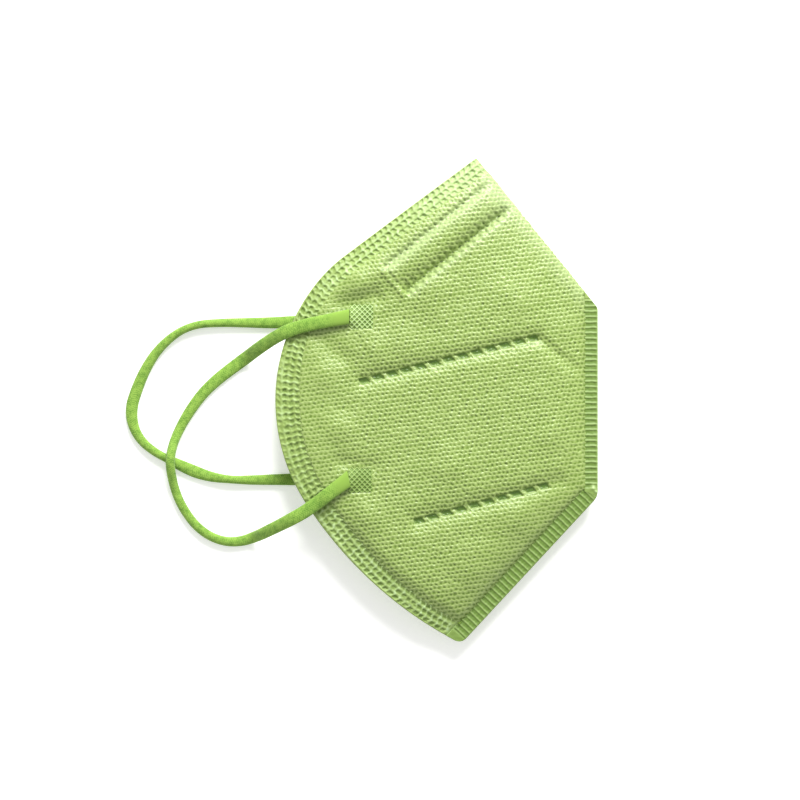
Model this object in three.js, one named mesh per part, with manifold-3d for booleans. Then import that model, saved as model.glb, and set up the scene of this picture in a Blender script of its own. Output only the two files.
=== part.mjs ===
// A disposable flat-fold respirator, folded in half along its nose line and lying on its side, with its two ear
// loops laid loosely beside it.
// Millimetres, +Z up. X runs from the open face edge (-X) to the front seam (+X), Y from the chin (-Y) to the nose
// (+Y), and the lower half's belly rests on z = 0. The origin is the middle of the folded mask's footprint.

import * as THREE from "three";
import { mergeVertices } from "three/addons/utils/BufferGeometryUtils.js";
import Module from "manifold-3d";

// ---------------------------------------------------------------------------------------------------------------
// Driving dimensions

// The folded outline: three straight closed sides between four corners, and an open face edge of one straight
// stretch and three arcs, each tangent to the next. A corner's rounding starts and ends at blend from it.
const NOSE_TIP = { x: 13.0, y: 79.4, blend: 0.9 };
const FRONT_TOP = { x: 52.72, y: 30.14, blend: 1.4 };
const FRONT_BOTTOM = { x: 52.72, y: -31.7, blend: 1.6 };
const CHIN_TIP = { x: 8.0, y: -79.86, blend: 2.8 };
const CHEEK_CENTRE = { x: 8.78, y: -0.2 };
const CHEEK_RADIUS = 61.5;
const FACE_ARCS = [
  { name: "knee", radius: 50, meetsCheekAt: 141.4, from: 126.9, to: 141.4 },
  { name: "cheek", radius: CHEEK_RADIUS, meetsCheekAt: 0, from: 141.4, to: 212.66 },
  { name: "chin", radius: 133.4, meetsCheekAt: 212.66, from: 212.66, to: 241.25 },
];

// The web and how far the two halves puff apart
const WALL = 1.4; // all the layers of one half together
const MID_HEIGHT = 5.9; // the welded seams and the nose fold lie at this height
const SEAM_HALF = 0.6; // half the thickness of a welded seam
const FRONT_SEAM = 4.4; // width of the welded band down the front
const CHIN_SEAM = 5.3; // width of the welded band under the chin
const FOLD_BULGE = 0.9; // what the web's turn adds to each half, within FOLD_RADIUS of a closed side
const FOLD_RADIUS = 2.4;
const UPPER_PUFF = 6.2; // how far each half then swells out, before the floor flattens the lower one
const LOWER_PUFF = 7.5;
const PUFF_REACH = 14; // distance in which a half reaches about two thirds of its puff
// At the face edge the upper half hangs a little towards the lower one, which keeps only a share of its puff there.
const UPPER_LIP = { drop: 1, reach: 16 };
const LOWER_LIP = { share: 0.08, from: 24, to: 38 };

// What is pressed into the panels
const QUILT_LINES = [
  { name: "upper", x0: -23.9, y0: 6.2, x1: 31.4, y1: 20.1, depth: 1.0, spread: 3.2 },
  { name: "lower", x0: -6.0, y0: -39.4, x1: 40.0, y1: -26.8, depth: 0.9, spread: 3.0 },
  { name: "beside clip", x0: -28.0, y0: 33.6, x1: -21.0, y1: 36.6, depth: 0.8, spread: 3.0 },
];

// The nose clip runs square across the fold, and its channel shows as a raised band
// (turnShare: the share of the strip's stations that its turn round the fold takes).
const CLIP = {
  width: 5,
  thickness: 0.6,
  reach: 46,
  depth: 0.9,
  turnShare: 0.12,
  crossing: { x: 21.6, y: 68.7 },
};
const CLIP_BAND = { halfWidth: 5.5, height: 0.8, shoulder: 1.8, fade: 7 };
const CLIP_GAP = { round: 0.35, outside: 0.3, inside: 0.6 };

// Ear loops and the welds that hold their ends
const STRAP = { width: 4.4, thickness: 2.0, sides: 10, steps: 38 };
const WELD = { width: 8.2, height: 8.8, thickness: 0.7, gap: 0.3, cells: 4 };
const WELD_PLACES = [
  { end: "upper", x: -24.5, y: 27.1 },
  { end: "lower", x: -24.9, y: -26.2 },
];

// Centre of each ear loop, hand laid: off the weld, over or under the face edge, and round on the floor.
const LOOP_ROUTES = {
  ear_loop_front: [
    { x: -29.3, y: 27.0, z: 14.8 },
    { x: -34.0, y: 26.1, z: 14.8 },
    { x: -39.5, y: 25.0, z: 14.5 },
    { x: -45.0, y: 23.7, z: 14.3 },
    { x: -49.2, y: 22.2, z: 13.8 },
    { x: -52.8, y: 20.4, z: 11.9 },
    { x: -56.4, y: 18.2, z: 8.6 },
    { x: -60.8, y: 15.2, z: 4.6 },
    { x: -66.2, y: 11.3, z: 2.2 },
    { x: -72.0, y: 6.8, z: 1.3 },
    { x: -76.7, y: 2.3, z: 1.3 },
    { x: -80.8, y: -3.1, z: 1.6 },
    { x: -84.1, y: -8.7, z: 2.4 },
    { x: -86.4, y: -14.2, z: 4.1 },
    { x: -87.4, y: -20.0, z: 5.1 },
    { x: -86.7, y: -26.6, z: 3.7 },
    { x: -84.8, y: -32.6, z: 2.1 },
    { x: -82.0, y: -37.6, z: 1.8 },
    { x: -78.6, y: -41.7, z: 1.8 },
    { x: -74.1, y: -44.9, z: 1.8 },
    { x: -69.0, y: -46.5, z: 1.7 },
    { x: -64.0, y: -46.3, z: 2.1 },
    { x: -59.2, y: -44.7, z: 4.3 },
    { x: -55.0, y: -42.7, z: 7.9 },
    { x: -51.2, y: -40.8, z: 11.4 },
    { x: -47.4, y: -38.8, z: 13.6 },
    { x: -43.2, y: -36.4, z: 14.2 },
    { x: -38.4, y: -33.0, z: 14.4 },
    { x: -34.4, y: -29.9, z: 14.7 },
    { x: -30.8, y: -27.1, z: 14.8 },
  ],
  ear_loop_back: [
    { x: -29.0, y: 26.6, z: 2.3 },
    { x: -34.5, y: 26.1, z: 1.9 },
    { x: -40.5, y: 25.8, z: 1.4 },
    { x: -47.0, y: 25.6, z: 1.4 },
    { x: -55.4, y: 25.4, z: 1.6 },
    { x: -63.5, y: 25.4, z: 1.7 },
    { x: -71.7, y: 25.3, z: 1.8 },
    { x: -78.4, y: 24.7, z: 1.9 },
    { x: -83.8, y: 22.8, z: 1.9 },
    { x: -88.6, y: 19.4, z: 1.9 },
    { x: -92.8, y: 14.8, z: 1.7 },
    { x: -96.1, y: 9.3, z: 1.5 },
    { x: -98.6, y: 3.4, z: 1.3 },
    { x: -100.1, y: -1.6, z: 1.2 },
    { x: -100.2, y: -6.0, z: 1.3 },
    { x: -98.9, y: -10.4, z: 1.5 },
    { x: -96.3, y: -14.1, z: 1.7 },
    { x: -92.7, y: -17.0, z: 1.6 },
    { x: -88.8, y: -19.2, z: 1.4 },
    { x: -84.6, y: -21.3, z: 1.3 },
    { x: -79.6, y: -23.5, z: 1.3 },
    { x: -74.2, y: -25.2, z: 1.5 },
    { x: -67.9, y: -26.1, z: 1.8 },
    { x: -60.8, y: -26.3, z: 1.7 },
    { x: -53.8, y: -26.2, z: 1.5 },
    { x: -46.7, y: -26.1, z: 1.4 },
    { x: -40.0, y: -26.1, z: 1.4 },
    { x: -34.5, y: -26.0, z: 1.9 },
    { x: -29.3, y: -26.0, z: 2.3 },
  ],
};

// How finely the panels are divided: cells across and along
const OUTSIDE_CELLS = { across: 26, along: 42 };
const HOLLOW_CELLS = { across: 18, along: 30 };
const TIP_TRIM = 0.1; // the last rows stop this far inside the tips, where the panels have closed
const CLOSING = 1.5; // columns lie this much closer together towards the closed sides
const HOLLOW_STOPS = { chin: 5, nose: 2.5 }; // the hollow ends this far inside the tips
// The halves part this far inside a seam, or inside the fold's own wall.
const PARTING = { seam: 2, fold: 0.5 };

// ---------------------------------------------------------------------------------------------------------------
// Materials

function finish(name, color, roughness, metalness) {
  return new THREE.MeshStandardMaterial({ name, color, roughness, metalness });
}

const fabric = finish("spunbond fabric", 0xb4d672, 0.8, 0);
const weldedFabric = finish("welded fabric", 0xa9cc6b, 0.6, 0);
const elastic = finish("knitted elastic", 0x93c94b, 0.85, 0);
const clipMetal = finish("aluminium", 0xc9ccd0, 0.4, 1);

// ---------------------------------------------------------------------------------------------------------------
// Outline

const { clamp, degToRad, lerp, mapLinear, smoothstep } = THREE.MathUtils;

// A point on the way from one corner to another, as far from the first as it says.
function towards(from, to, distance) {
  const length = Math.hypot(to.x - from.x, to.y - from.y);
  return {
    x: from.x + ((to.x - from.x) * distance) / length,
    y: from.y + ((to.y - from.y) * distance) / length,
  };
}

// Each arc's centre lies on the line through the cheek's centre and the point where the two arcs meet.
function arcCentre(arc) {
  const offset = CHEEK_RADIUS - arc.radius;
  return {
    x: CHEEK_CENTRE.x + offset * Math.cos(degToRad(arc.meetsCheekAt)),
    y: CHEEK_CENTRE.y + offset * Math.sin(degToRad(arc.meetsCheekAt)),
  };
}

// The open face edge, from the nose tip down to the chin.
function faceEdge() {
  const edge = new THREE.Path();
  for (const arc of FACE_ARCS) {
    const centre = arcCentre(arc);
    edge.absarc(centre.x, centre.y, arc.radius, degToRad(arc.from), degToRad(arc.to), false);
  }
  const start = towards(NOSE_TIP, edge.getPoint(0), NOSE_TIP.blend);
  edge.curves.unshift(new THREE.LineCurve(new THREE.Vector2(start.x, start.y), edge.getPoint(0)));
  return edge;
}

// Both halves have this outline: the face edge, then the chin seam, the front seam and the nose fold, with each
// corner eased by a curve.
function foldedOutline() {
  const outline = faceEdge();
  const straight = [CHIN_TIP, FRONT_BOTTOM, FRONT_TOP, NOSE_TIP];
  straight.forEach((corner, i) => {
    const next = straight[(i + 1) % straight.length];
    const leave = i < 3 ? towards(corner, next, corner.blend) : faceEdge().getPoint(0);
    outline.quadraticCurveTo(corner.x, corner.y, leave.x, leave.y);
    if (i < 3) {
      const arrive = towards(next, corner, next.blend);
      outline.lineTo(arrive.x, arrive.y);
    }
  });
  return outline;
}

const FACE_POINTS = faceEdge().getPoints(24);
const OUTLINE_POINTS = foldedOutline().getPoints(24);
const TOP = Math.max(...OUTLINE_POINTS.map((p) => p.y));
const BOTTOM = Math.min(...OUTLINE_POINTS.map((p) => p.y));

// The outline's left and right ends on the row at y.
function rowEnds(y) {
  const crossings = [];
  OUTLINE_POINTS.forEach((a, i) => {
    const b = OUTLINE_POINTS[(i + 1) % OUTLINE_POINTS.length];
    if (a.y <= y !== b.y <= y) crossings.push(a.x + ((b.x - a.x) * (y - a.y)) / (b.y - a.y));
  });
  return [Math.min(...crossings), Math.max(...crossings)];
}

// ---------------------------------------------------------------------------------------------------------------
// Form of the two halves

// Distance from a point to the stretch from a to b.
function distanceToStretch(x, y, a, b) {
  const dx = b.x - a.x;
  const dy = b.y - a.y;
  const along = ((x - a.x) * dx + (y - a.y) * dy) / (dx * dx + dy * dy);
  const t = clamp(along, 0, 1);
  return Math.hypot(x - a.x - t * dx, y - a.y - t * dy);
}

// Distance inwards from the straight side that runs from a to b, with the mask on its left.
function inside(x, y, a, b) {
  return ((b.x - a.x) * (y - a.y) - (b.y - a.y) * (x - a.x)) / Math.hypot(b.x - a.x, b.y - a.y);
}

function distanceToFace(x, y) {
  let nearest = Infinity;
  for (let i = 1; i < FACE_POINTS.length; i++)
    nearest = Math.min(nearest, distanceToStretch(x, y, FACE_POINTS[i - 1], FACE_POINTS[i]));
  return nearest;
}

// Distances inwards from the three closed sides, counted from the inner edge of a welded seam.
function closedSides(x, y) {
  return [
    inside(x, y, FRONT_TOP, NOSE_TIP),
    inside(x, y, FRONT_BOTTOM, FRONT_TOP) - FRONT_SEAM,
    inside(x, y, CHIN_TIP, FRONT_BOTTOM) - CHIN_SEAM,
  ];
}

// From 0 on a closed side to 1 where a half has its whole puff.
function swelling(x, y) {
  return closedSides(x, y).reduce((share, off) => {
    return share * (1 - Math.exp(-Math.max(off, 0) / PUFF_REACH));
  }, 1);
}

// From 0 on a closed side to 1 once past the turn beside it, on a quarter circle.
function turning(x, y) {
  return closedSides(x, y).reduce((share, off) => {
    const left = 1 - clamp(off / FOLD_RADIUS, 0, 1);
    return share * Math.sqrt(1 - left * left);
  }, 1);
}

// Depth of the quilting welds and soft folds at a point.
function quilting(x, y) {
  return QUILT_LINES.reduce((depth, line) => {
    const away = distanceToStretch(x, y, { x: line.x0, y: line.y0 }, { x: line.x1, y: line.y1 });
    return depth + line.depth * Math.exp(-((away / line.spread) ** 2));
  }, 0);
}

// A direction square to the nose fold, pointing into the mask, and the direction along the fold.
const FOLD_LENGTH = Math.hypot(NOSE_TIP.x - FRONT_TOP.x, NOSE_TIP.y - FRONT_TOP.y);
const ALONG_FOLD = {
  x: (NOSE_TIP.x - FRONT_TOP.x) / FOLD_LENGTH,
  y: (NOSE_TIP.y - FRONT_TOP.y) / FOLD_LENGTH,
};
const OFF_FOLD = { x: -ALONG_FOLD.y, y: ALONG_FOLD.x };

// Height of the raised band over the nose clip at a point.
function clipBand(x, y) {
  const dx = x - CLIP.crossing.x;
  const dy = y - CLIP.crossing.y;
  const along = dx * OFF_FOLD.x + dy * OFF_FOLD.y;
  const across = Math.abs(dx * ALONG_FOLD.x + dy * ALONG_FOLD.y);
  const sides = 1 - smoothstep(across, CLIP_BAND.halfWidth - CLIP_BAND.shoulder, CLIP_BAND.halfWidth);
  const end = 1 - smoothstep(along, CLIP.reach - CLIP_BAND.shoulder, CLIP.reach + CLIP_BAND.shoulder);
  return CLIP_BAND.height * sides * end * smoothstep(along, 0, CLIP_BAND.fade);
}

// The outer surface of the upper half, without the clip's band. Nothing is pressed into a welded seam.
function upperWeb(x, y) {
  const half = SEAM_HALF + FOLD_BULGE * turning(x, y) + UPPER_PUFF * swelling(x, y);
  const lip = UPPER_LIP.drop * (1 - smoothstep(distanceToFace(x, y), 0, UPPER_LIP.reach));
  return MID_HEIGHT + half - (quilting(x, y) + lip) * Math.min(1, 2 * swelling(x, y));
}

// The outer surface of the lower half, without the clip's band: flattened where it rests, and clear of the surface
// below near the face edge.
function lowerWeb(x, y) {
  const away = smoothstep(distanceToFace(x, y), LOWER_LIP.from, LOWER_LIP.to);
  const puff = LOWER_PUFF * lerp(LOWER_LIP.share, 1, away);
  return Math.max(0, MID_HEIGHT - SEAM_HALF - FOLD_BULGE * turning(x, y) - puff * swelling(x, y));
}

function upperSurface(x, y) {
  return upperWeb(x, y) + clipBand(x, y);
}

function lowerSurface(x, y) {
  return Math.max(0, lowerWeb(x, y) - clipBand(x, y));
}

// ---------------------------------------------------------------------------------------------------------------
// Solids

// A closed block of cells, each of its corners carried to its place: u and v run from 0 to 1 across and along,
// and side is 1 on its upper face and -1 on its lower one.
function mouldedBlock(across, along, place) {
  const block = new THREE.BoxGeometry(1, 1, 1, across, along, 1);
  const corners = block.getAttribute("position");
  for (let i = 0; i < corners.count; i++) {
    const [x, y, z] = place(corners.getX(i) + 0.5, corners.getY(i) + 0.5, Math.sign(corners.getZ(i)));
    corners.setXYZ(i, x, y, z);
  }
  block.deleteAttribute("normal");
  block.deleteAttribute("uv");
  return mergeVertices(block, 1e-4);
}

const wasm = await Module();
wasm.setup();

function toSolid(geometry) {
  return new wasm.Manifold(
    new wasm.Mesh({
      numProp: 3,
      vertProperties: geometry.getAttribute("position").array,
      triVerts: new Uint32Array(geometry.index.array),
    }),
  );
}

function toGeometry(solid) {
  const mesh = solid.getMesh();
  const geometry = new THREE.BufferGeometry();
  geometry.setAttribute("position", new THREE.BufferAttribute(mesh.vertProperties, 3));
  geometry.setIndex(new THREE.BufferAttribute(mesh.triVerts, 1));
  return geometry;
}

// Rows lie closer together towards the tips, and columns towards the closed sides.
function rowAt(v, low, high) {
  const eased = 0.7 * v + 0.3 * smoothstep(v, 0, 1);
  return lerp(low, high, eased);
}

function outsideBlock() {
  return mouldedBlock(OUTSIDE_CELLS.across, OUTSIDE_CELLS.along, (u, v, side) => {
    const y = rowAt(v, BOTTOM + TIP_TRIM, TOP - TIP_TRIM);
    const [left, right] = rowEnds(y);
    const x = lerp(right, left, (1 - u) ** CLOSING);
    return [x, y, side > 0 ? upperSurface(x, y) : lowerSurface(x, y)];
  });
}

// Where the hollow ends on a row: just inside the seams, where the two halves part.
function hollowEnd(y, right) {
  const parted = (x) =>
    inside(x, y, FRONT_TOP, NOSE_TIP) > WALL + PARTING.fold &&
    inside(x, y, FRONT_BOTTOM, FRONT_TOP) > FRONT_SEAM + PARTING.seam &&
    inside(x, y, CHIN_TIP, FRONT_BOTTOM) > CHIN_SEAM + PARTING.seam;
  let x = right;
  while (!parted(x)) x -= 0.1;
  return x;
}

// The hollow where the face goes in. It runs out through the face edge, and keeps the wall's thickness all round.
function hollowBlock() {
  const beyond = 5; // past the face edge, so that the cut leaves no skin there
  const pinch = 0.1; // the least half height, so that the block stays closed where the halves meet
  return mouldedBlock(HOLLOW_CELLS.across, HOLLOW_CELLS.along, (u, v, side) => {
    const y = rowAt(v, BOTTOM + HOLLOW_STOPS.chin, TOP - HOLLOW_STOPS.nose);
    const [left, right] = rowEnds(y);
    const end = Math.max(hollowEnd(y, right), left + 1);
    const x = lerp(end, left - beyond, (1 - u) ** CLOSING);
    const held = Math.max(x, left);
    const ceiling = upperWeb(held, y) - WALL;
    const floor = lowerWeb(held, y) + WALL;
    const middle = (ceiling + floor) / 2;
    return [x, y, side > 0 ? Math.max(ceiling, middle + pinch) : Math.min(floor, middle - pinch)];
  });
}

// The nose clip's centre line is one hairpin, from its end in the upper half round the fold to its end in the lower
// half. Returns the distance from the fold edge and the height at a share of that way.
function hairpin(share) {
  const side = share < 0.5 ? 1 : -1;
  const height = (off) => {
    const x = CLIP.crossing.x + OFF_FOLD.x * off;
    const y = CLIP.crossing.y + OFF_FOLD.y * off;
    return side > 0 ? upperWeb(x, y) - CLIP.depth : lowerWeb(x, y) + CLIP.depth;
  };
  const toFold = Math.abs(share - 0.5) * 2;
  if (toFold < CLIP.turnShare) {
    const angle = (toFold / CLIP.turnShare) * (Math.PI / 2);
    const off = FOLD_RADIUS - (FOLD_RADIUS - CLIP.depth) * Math.cos(angle);
    return { off, z: lerp(MID_HEIGHT, height(FOLD_RADIUS), Math.sin(angle)) };
  }
  const off = mapLinear(toFold, CLIP.turnShare, 1, FOLD_RADIUS, CLIP.reach);
  return { off, z: height(off) };
}

// The clip, or the room that it takes in the web: the same hairpin made wider, thicker and longer.
function clipBlock(halfWidth, outer, inner, extra) {
  const stations = 44;
  const step = 0.002; // share of the way over which the strip's direction is measured
  return mouldedBlock(stations, 1, (u, v, side) => {
    const here = hairpin(u);
    const before = hairpin(Math.max(0, u - step));
    const after = hairpin(Math.min(1, u + step));
    const run = Math.hypot(after.off - before.off, after.z - before.z);
    const tangent = { off: (after.off - before.off) / run, z: (after.z - before.z) / run };
    const reach = side > 0 ? outer : -inner;
    const lengthen = u === 0 ? -extra : u === 1 ? extra : 0;
    const off = here.off + tangent.z * reach + tangent.off * lengthen;
    const z = here.z - tangent.off * reach + tangent.z * lengthen;
    const across = (v - 0.5) * 2 * halfWidth;
    return [
      CLIP.crossing.x + OFF_FOLD.x * off + ALONG_FOLD.x * across,
      CLIP.crossing.y + OFF_FOLD.y * off + ALONG_FOLD.y * across,
      z,
    ];
  });
}

// ---------------------------------------------------------------------------------------------------------------
// Pieces

// One web of fabric, folded at the nose and fused along the front and the chin.
function maskBody() {
  const room = clipBlock(
    CLIP.width / 2 + CLIP_GAP.round,
    CLIP.thickness / 2 + CLIP_GAP.outside,
    CLIP.thickness / 2 + CLIP_GAP.inside,
    CLIP_GAP.round,
  );
  const web = toSolid(outsideBlock()).subtract(toSolid(hollowBlock())).subtract(toSolid(room));
  return new THREE.Mesh(toGeometry(web), fabric);
}

// The bendable strip that is pinched over the nose.
function noseClip() {
  const half = CLIP.thickness / 2;
  return new THREE.Mesh(clipBlock(CLIP.width / 2, half, half, 0), clipMetal);
}

// The square where a loop's flattened end is welded to the panel, on the upper or the lower half.
function strapWeld(place, upper) {
  const geometry = mouldedBlock(WELD.cells, WELD.cells, (u, v, side) => {
    const x = place.x + (u - 0.5) * WELD.width;
    const y = place.y + (v - 0.5) * WELD.height;
    const near = WELD.gap;
    const far = WELD.gap + WELD.thickness;
    if (upper) return [x, y, upperSurface(x, y) + (side > 0 ? far : near)];
    return [x, y, lowerSurface(x, y) - (side > 0 ? near : far)];
  });
  return new THREE.Mesh(geometry, weldedFabric);
}

// A flat oval elastic, lying on its broad side.
function earLoop(route) {
  const section = new THREE.Shape();
  section.absellipse(0, 0, STRAP.thickness / 2, STRAP.width / 2, 0, 2 * Math.PI, false);
  const points = route.map((p) => new THREE.Vector3(p.x, p.y, p.z));
  const centreLine = new THREE.CatmullRomCurve3(points, false, "centripetal");
  const geometry = new THREE.ExtrudeGeometry(section, {
    steps: STRAP.steps,
    curveSegments: STRAP.sides / 2, // an ellipse takes two corners for each
    extrudePath: centreLine,
    bevelEnabled: false,
  });
  return new THREE.Mesh(geometry, elastic);
}

// ---------------------------------------------------------------------------------------------------------------
// Assembly

const respirator = new THREE.Group();

function add(name, mesh) {
  mesh.name = name;
  respirator.add(mesh);
}

add("mask_body", maskBody());
add("nose_clip", noseClip());
for (const place of WELD_PLACES) {
  add(`strap_weld_front_${place.end}`, strapWeld(place, true));
  add(`strap_weld_back_${place.end}`, strapWeld(place, false));
}
for (const [name, route] of Object.entries(LOOP_ROUTES)) add(name, earLoop(route));

export default respirator;
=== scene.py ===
# A disposable flat-fold respirator, folded in half along its nose line and lying on its side, with its two
# ear loops laid loosely beside it. The sections are the camera, the ear loops, the panels, the linings, the
# face bands, the seams, the strap welds, the nose clip and the studio.
import math

import bmesh
import bpy
from mathutils import Matrix, Vector, noise


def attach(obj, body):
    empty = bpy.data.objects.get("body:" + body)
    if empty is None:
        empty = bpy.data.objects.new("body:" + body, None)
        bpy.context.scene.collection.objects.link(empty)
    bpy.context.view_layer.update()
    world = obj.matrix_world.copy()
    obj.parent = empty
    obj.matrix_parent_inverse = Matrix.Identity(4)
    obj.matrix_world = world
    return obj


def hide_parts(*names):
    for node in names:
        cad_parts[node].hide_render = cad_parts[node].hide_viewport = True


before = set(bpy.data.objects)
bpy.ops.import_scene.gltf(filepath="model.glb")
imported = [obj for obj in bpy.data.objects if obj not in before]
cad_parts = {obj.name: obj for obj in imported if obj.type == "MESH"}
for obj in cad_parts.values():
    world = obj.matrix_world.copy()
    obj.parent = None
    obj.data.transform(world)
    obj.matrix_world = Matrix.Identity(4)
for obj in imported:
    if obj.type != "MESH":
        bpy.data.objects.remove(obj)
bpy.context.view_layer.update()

# ------------------------------
# Camera: straight above the mask, far enough away for the loops and the panels to keep their proportions.

VIEW_CENTRE = (-0.01207, 0.0)
CAMERA_HEIGHT = 1.207


def new_object(name, data):
    made = bpy.data.objects.new(name, data)
    bpy.context.scene.collection.objects.link(made)
    return made


camera_data = bpy.data.cameras.new("camera")
camera_data.sensor_width = 36
camera_data.lens = 165
camera = new_object("camera", camera_data)
camera.location = (*VIEW_CENTRE, CAMERA_HEIGHT)
bpy.context.scene.camera = camera

# ------------------------------
# Ear loops: two lengths of soft elastic, weft-knitted from covered spandex as a flattened tube, 4.4 mm wide.
# The knit is matt and a little fuzzy. Where a loop bends tightly on the floor, it gets narrower and rounder.

MM = 0.001  # metres in a millimetre: every piece is shaped in millimetres and made metres when it is finished
STRAP_WIDTH = 4.4
STRAP_THICKNESS = 2.0
WALES = 14  # columns of stitches round the tube
COURSE = 0.7  # one row of stitches along it; the real one is finer, and this is as fine as shows
STITCH_HEIGHT = 0.07
STITCH_CELLS = 4  # mesh cells across one stitch
START_TUCK = 0.7  # a loop's first end reaches this much into its weld
SETTLING = 1.0  # the slack elastic sinks this much where it crosses the welded band
SECTION_POWER = 0.94  # below 1, so the tube's section is a little fuller than an ellipse
CUT_REACH = 5.0  # the ends are cut slanting, and the slant of the cut dies out over this length
CUT_SLANT = 0.45
IRON_REACH = 8.0  # the weld irons the knit smooth this far from each end; painted lighter there as highlight

# Each point is a loop's centre, with the width that the loop shows there.
LOOP_ROUTES = {
    "front": [
        (-29.3, 27.0, 14.8, 4.8),
        (-34.0, 26.1, 14.8, 4.5),
        (-39.5, 25.0, 14.5, 4.4),
        (-45.0, 23.7, 14.3, 4.4),
        (-49.2, 22.2, 13.8, 4.4),
        (-52.8, 20.4, 11.9, 4.3),
        (-56.4, 18.2, 8.6, 4.3),
        (-60.8, 15.2, 4.6, 4.3),
        (-66.2, 11.3, 2.2, 4.2),
        (-72.0, 6.8, 1.3, 4.0),
        (-76.7, 2.3, 1.3, 3.8),
        (-80.8, -3.1, 1.6, 3.6),
        (-84.1, -8.7, 2.4, 3.3),
        (-86.4, -14.2, 4.1, 3.1),
        (-87.4, -20.0, 5.1, 3.1),
        (-86.7, -26.6, 3.7, 3.0),
        (-84.8, -32.6, 2.1, 3.0),
        (-82.0, -37.6, 1.8, 3.0),
        (-78.6, -41.7, 1.8, 3.0),
        (-74.1, -44.9, 1.8, 3.0),
        (-69.0, -46.5, 1.7, 3.1),
        (-64.0, -46.3, 2.1, 3.4),
        (-59.2, -44.7, 4.3, 3.8),
        (-55.0, -42.7, 7.9, 4.0),
        (-51.2, -40.8, 11.4, 4.1),
        (-47.4, -38.8, 13.6, 4.3),
        (-43.2, -36.4, 14.2, 4.4),
        (-38.4, -33.0, 14.4, 4.4),
        (-34.4, -29.9, 14.7, 4.5),
        (-30.8, -27.2, 14.9, 4.7),
        (-28.7, -25.6, 14.9, 4.9),
    ],
    "back": [
        (-29.0, 26.6, 2.3, 4.6),
        (-34.5, 26.1, 1.9, 4.4),
        (-40.5, 25.8, 1.4, 4.4),
        (-47.0, 25.6, 1.4, 4.2),
        (-55.4, 25.4, 1.6, 3.7),
        (-63.5, 25.4, 1.7, 3.2),
        (-71.7, 25.3, 1.8, 2.8),
        (-78.4, 24.7, 1.9, 2.6),
        (-83.8, 22.8, 1.9, 2.6),
        (-88.6, 19.4, 1.9, 2.9),
        (-92.8, 14.8, 1.7, 3.2),
        (-96.1, 9.3, 1.5, 3.6),
        (-98.6, 3.4, 1.3, 3.9),
        (-100.1, -1.6, 1.2, 4.0),
        (-100.2, -6.0, 1.3, 3.8),
        (-98.9, -10.4, 1.5, 3.3),
        (-96.3, -14.1, 1.7, 3.0),
        (-92.7, -17.0, 1.6, 2.8),
        (-88.8, -19.2, 1.4, 2.8),
        (-84.6, -21.3, 1.3, 3.6),
        (-79.6, -23.5, 1.3, 4.0),
        (-74.2, -25.2, 1.5, 3.4),
        (-67.9, -26.1, 1.8, 2.7),
        (-60.8, -26.3, 1.7, 3.2),
        (-53.8, -26.2, 1.5, 3.6),
        (-46.7, -26.1, 1.4, 4.0),
        (-40.0, -26.1, 1.4, 4.4),
        (-34.5, -26.0, 1.9, 4.4),
        (-29.3, -26.0, 2.3, 4.6),
    ],
}


def srgb(colour):
    """A hex colour as the linear colour that a shader takes."""
    channels = [int(colour[i : i + 2], 16) / 255 for i in (1, 3, 5)]
    return [c / 12.92 if c <= 0.04045 else ((c + 0.055) / 1.055) ** 2.4 for c in channels] + [1.0]


def add_node(tree, kind, inputs=(), **settings):
    """Adds a node. Inputs pairs its sockets with a value, or with the output that feeds them."""
    made = tree.nodes.new("ShaderNode" + kind)
    for name, value in settings.items():
        setattr(made, name, value)
    for socket, value in dict(inputs).items():
        if isinstance(value, bpy.types.NodeSocket):
            tree.links.new(value, made.inputs[socket])
        else:
            made.inputs[socket].default_value = value
    return made


def arithmetic(tree, operation, *values):
    return add_node(tree, "Math", dict(enumerate(values)), operation=operation).outputs[0]


def remapped(tree, value, low=0.0, high=1.0, start=0.0, end=1.0):
    """Carries the range from low to high over to the range from start to end."""
    return add_node(tree, "MapRange", dict(enumerate((value, low, high, start, end)))).outputs[0]


def speckled(tree, place, scale, detail):
    return add_node(tree, "TexNoise", {"Vector": place, "Scale": scale, "Detail": detail}).outputs["Fac"]


def blended(tree, share, start, end):
    """The colour that lies that share of the way from start to end. Each is a hex colour or an output."""
    start, end = (srgb(colour) if isinstance(colour, str) else colour for colour in (start, end))
    return add_node(tree, "Mix", {0: share, 6: start, 7: end}, data_type="RGBA").outputs[2]


def attribute(tree, name):
    return add_node(tree, "Attribute", attribute_name=name).outputs["Fac"]


def mapped(tree, place, turn, scale):
    return add_node(tree, "Mapping", {0: place, "Rotation": (0, 0, turn), "Scale": scale}).outputs[0]


def bumped(tree, strength, distance, height):
    values = {"Strength": strength, "Distance": distance, "Height": height}
    return add_node(tree, "Bump", values).outputs[0]


def feed(tree, shader, outputs):
    for name, output in outputs.items():
        tree.links.new(output, shader.inputs[name])


def new_material(name, values):
    """A material, its node tree and the shader that it shows, with the values that are the same all over."""
    material = bpy.data.materials.new(name)
    material.use_nodes = True
    tree = material.node_tree
    tree.nodes.clear()
    shader = add_node(tree, "BsdfPrincipled", values)
    add_node(tree, "OutputMaterial", {"Surface": shader.outputs["BSDF"]})
    return material, tree, shader


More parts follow.
